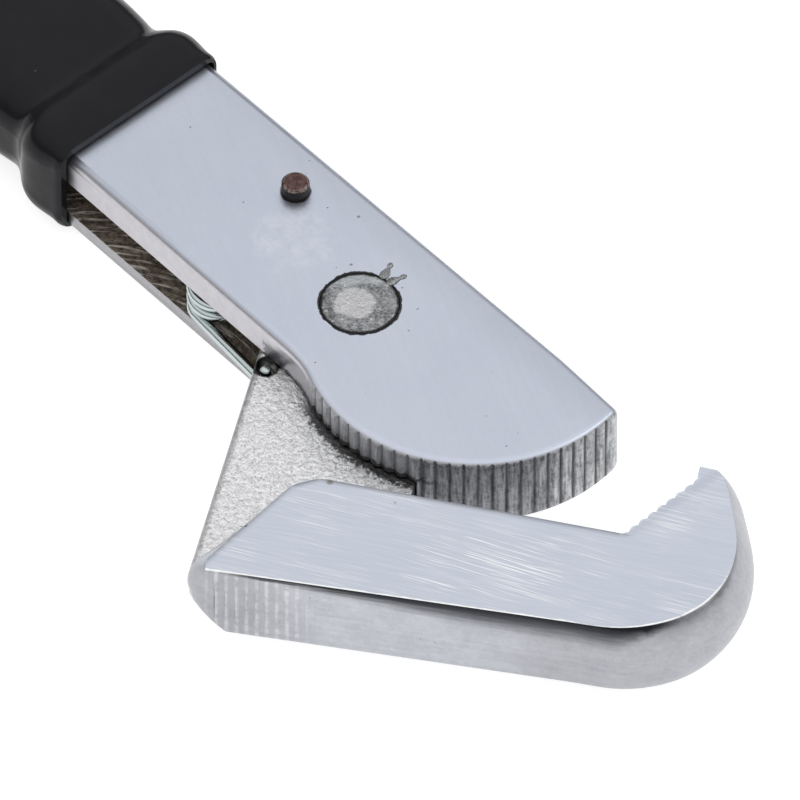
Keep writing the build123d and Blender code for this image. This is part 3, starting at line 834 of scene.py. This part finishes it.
# ---- stage ----
FLOOR_Z = -2.0
FLOOR_HALF = 3000.0
bpy.ops.mesh.primitive_plane_add(size=2 * FLOOR_HALF * MM, location=(0, 0, FLOOR_Z * MM))
floor = bpy.context.active_object
floor.name = "floor"
floor_look = bpy.data.materials.new("pale_floor")
floor_look.use_nodes = True
floor_shader = floor_look.node_tree.nodes["Principled BSDF"]
floor_shader.inputs["Base Color"].default_value = (0.50, 0.50, 0.50, 1.0)
floor_shader.inputs["Roughness"].default_value = 0.9
floor_shader.inputs["Emission Color"].default_value = (1.0, 1.0, 1.0, 1.0)
floor_shader.inputs["Emission Strength"].default_value = 0.78
floor.data.materials.append(floor_look)

world = bpy.data.worlds.new("studio")
bpy.context.scene.world = world
world.use_nodes = True
tree = world.node_tree
background = tree.nodes["Background"]
coordinate = tree.nodes.new("ShaderNodeTexCoord")
height = tree.nodes.new("ShaderNodeSeparateXYZ")
ramp = tree.nodes.new("ShaderNodeValToRGB")
tree.links.new(coordinate.outputs["Generated"], height.inputs[0])
tree.links.new(height.outputs[2], ramp.inputs[0])
tree.links.new(ramp.outputs[0], background.inputs[0])
# brightness of the sky by height, from straight down at 0 to straight up at 1
SKY = ((0.0, 0.08), (0.20, 0.20), (0.48, 0.86), (0.80, 1.06), (1.0, 1.08))
ramp.color_ramp.elements[0].position, ramp.color_ramp.elements[1].position = SKY[0][0], SKY[-1][0]
for position, _ in SKY[1:-1]:
    ramp.color_ramp.elements.new(position)
for element, (_, level) in zip(ramp.color_ramp.elements, SKY):
    element.color = (level, level, level, 1.0)
background.inputs[1].default_value = 1.0


def soft_light(name, place, aim, size, power):
    """Square soft light at a place in millimetres, aimed at a point."""
    light = bpy.data.lights.new(name, "AREA")
    light.size = size * MM
    light.energy = power
    obj = bpy.data.objects.new(name, light)
    obj.location = Vector(place) * MM
    obj.rotation_mode = "QUATERNION"
    obj.rotation_quaternion = (Vector(aim) - Vector(place)).to_track_quat("-Z", "Y")
    bpy.context.scene.collection.objects.link(obj)


KEY_PLACE = (900, 700, 900)
KEY_SIZE = 700
KEY_POWER = 4.0
soft_light("key", KEY_PLACE, (0, 0, 0), KEY_SIZE, KEY_POWER)

# ---- camera ----
AIM = Vector((15.35, -6.97, 12.2))
TO_CAMERA = Vector((0.485, -0.436, 0.758)).normalized()
DISTANCE = 4000.0
SENSOR_WIDTH = 36.0
LENS = 1430.8
CLIP_START = 0.1
CLIP_END = 50.0
camera_data = bpy.data.cameras.new("camera")
camera_data.sensor_width = SENSOR_WIDTH
camera_data.lens = LENS
camera_data.clip_start = CLIP_START
camera_data.clip_end = CLIP_END
camera = bpy.data.objects.new("camera", camera_data)
camera.location = (AIM + TO_CAMERA * DISTANCE) * MM
camera.rotation_mode = "QUATERNION"
camera.rotation_quaternion = (-TO_CAMERA).to_track_quat("-Z", "Y")
bpy.context.scene.collection.objects.link(camera)
bpy.context.scene.camera = camera
bpy.context.scene.view_settings.view_transform = "Standard"
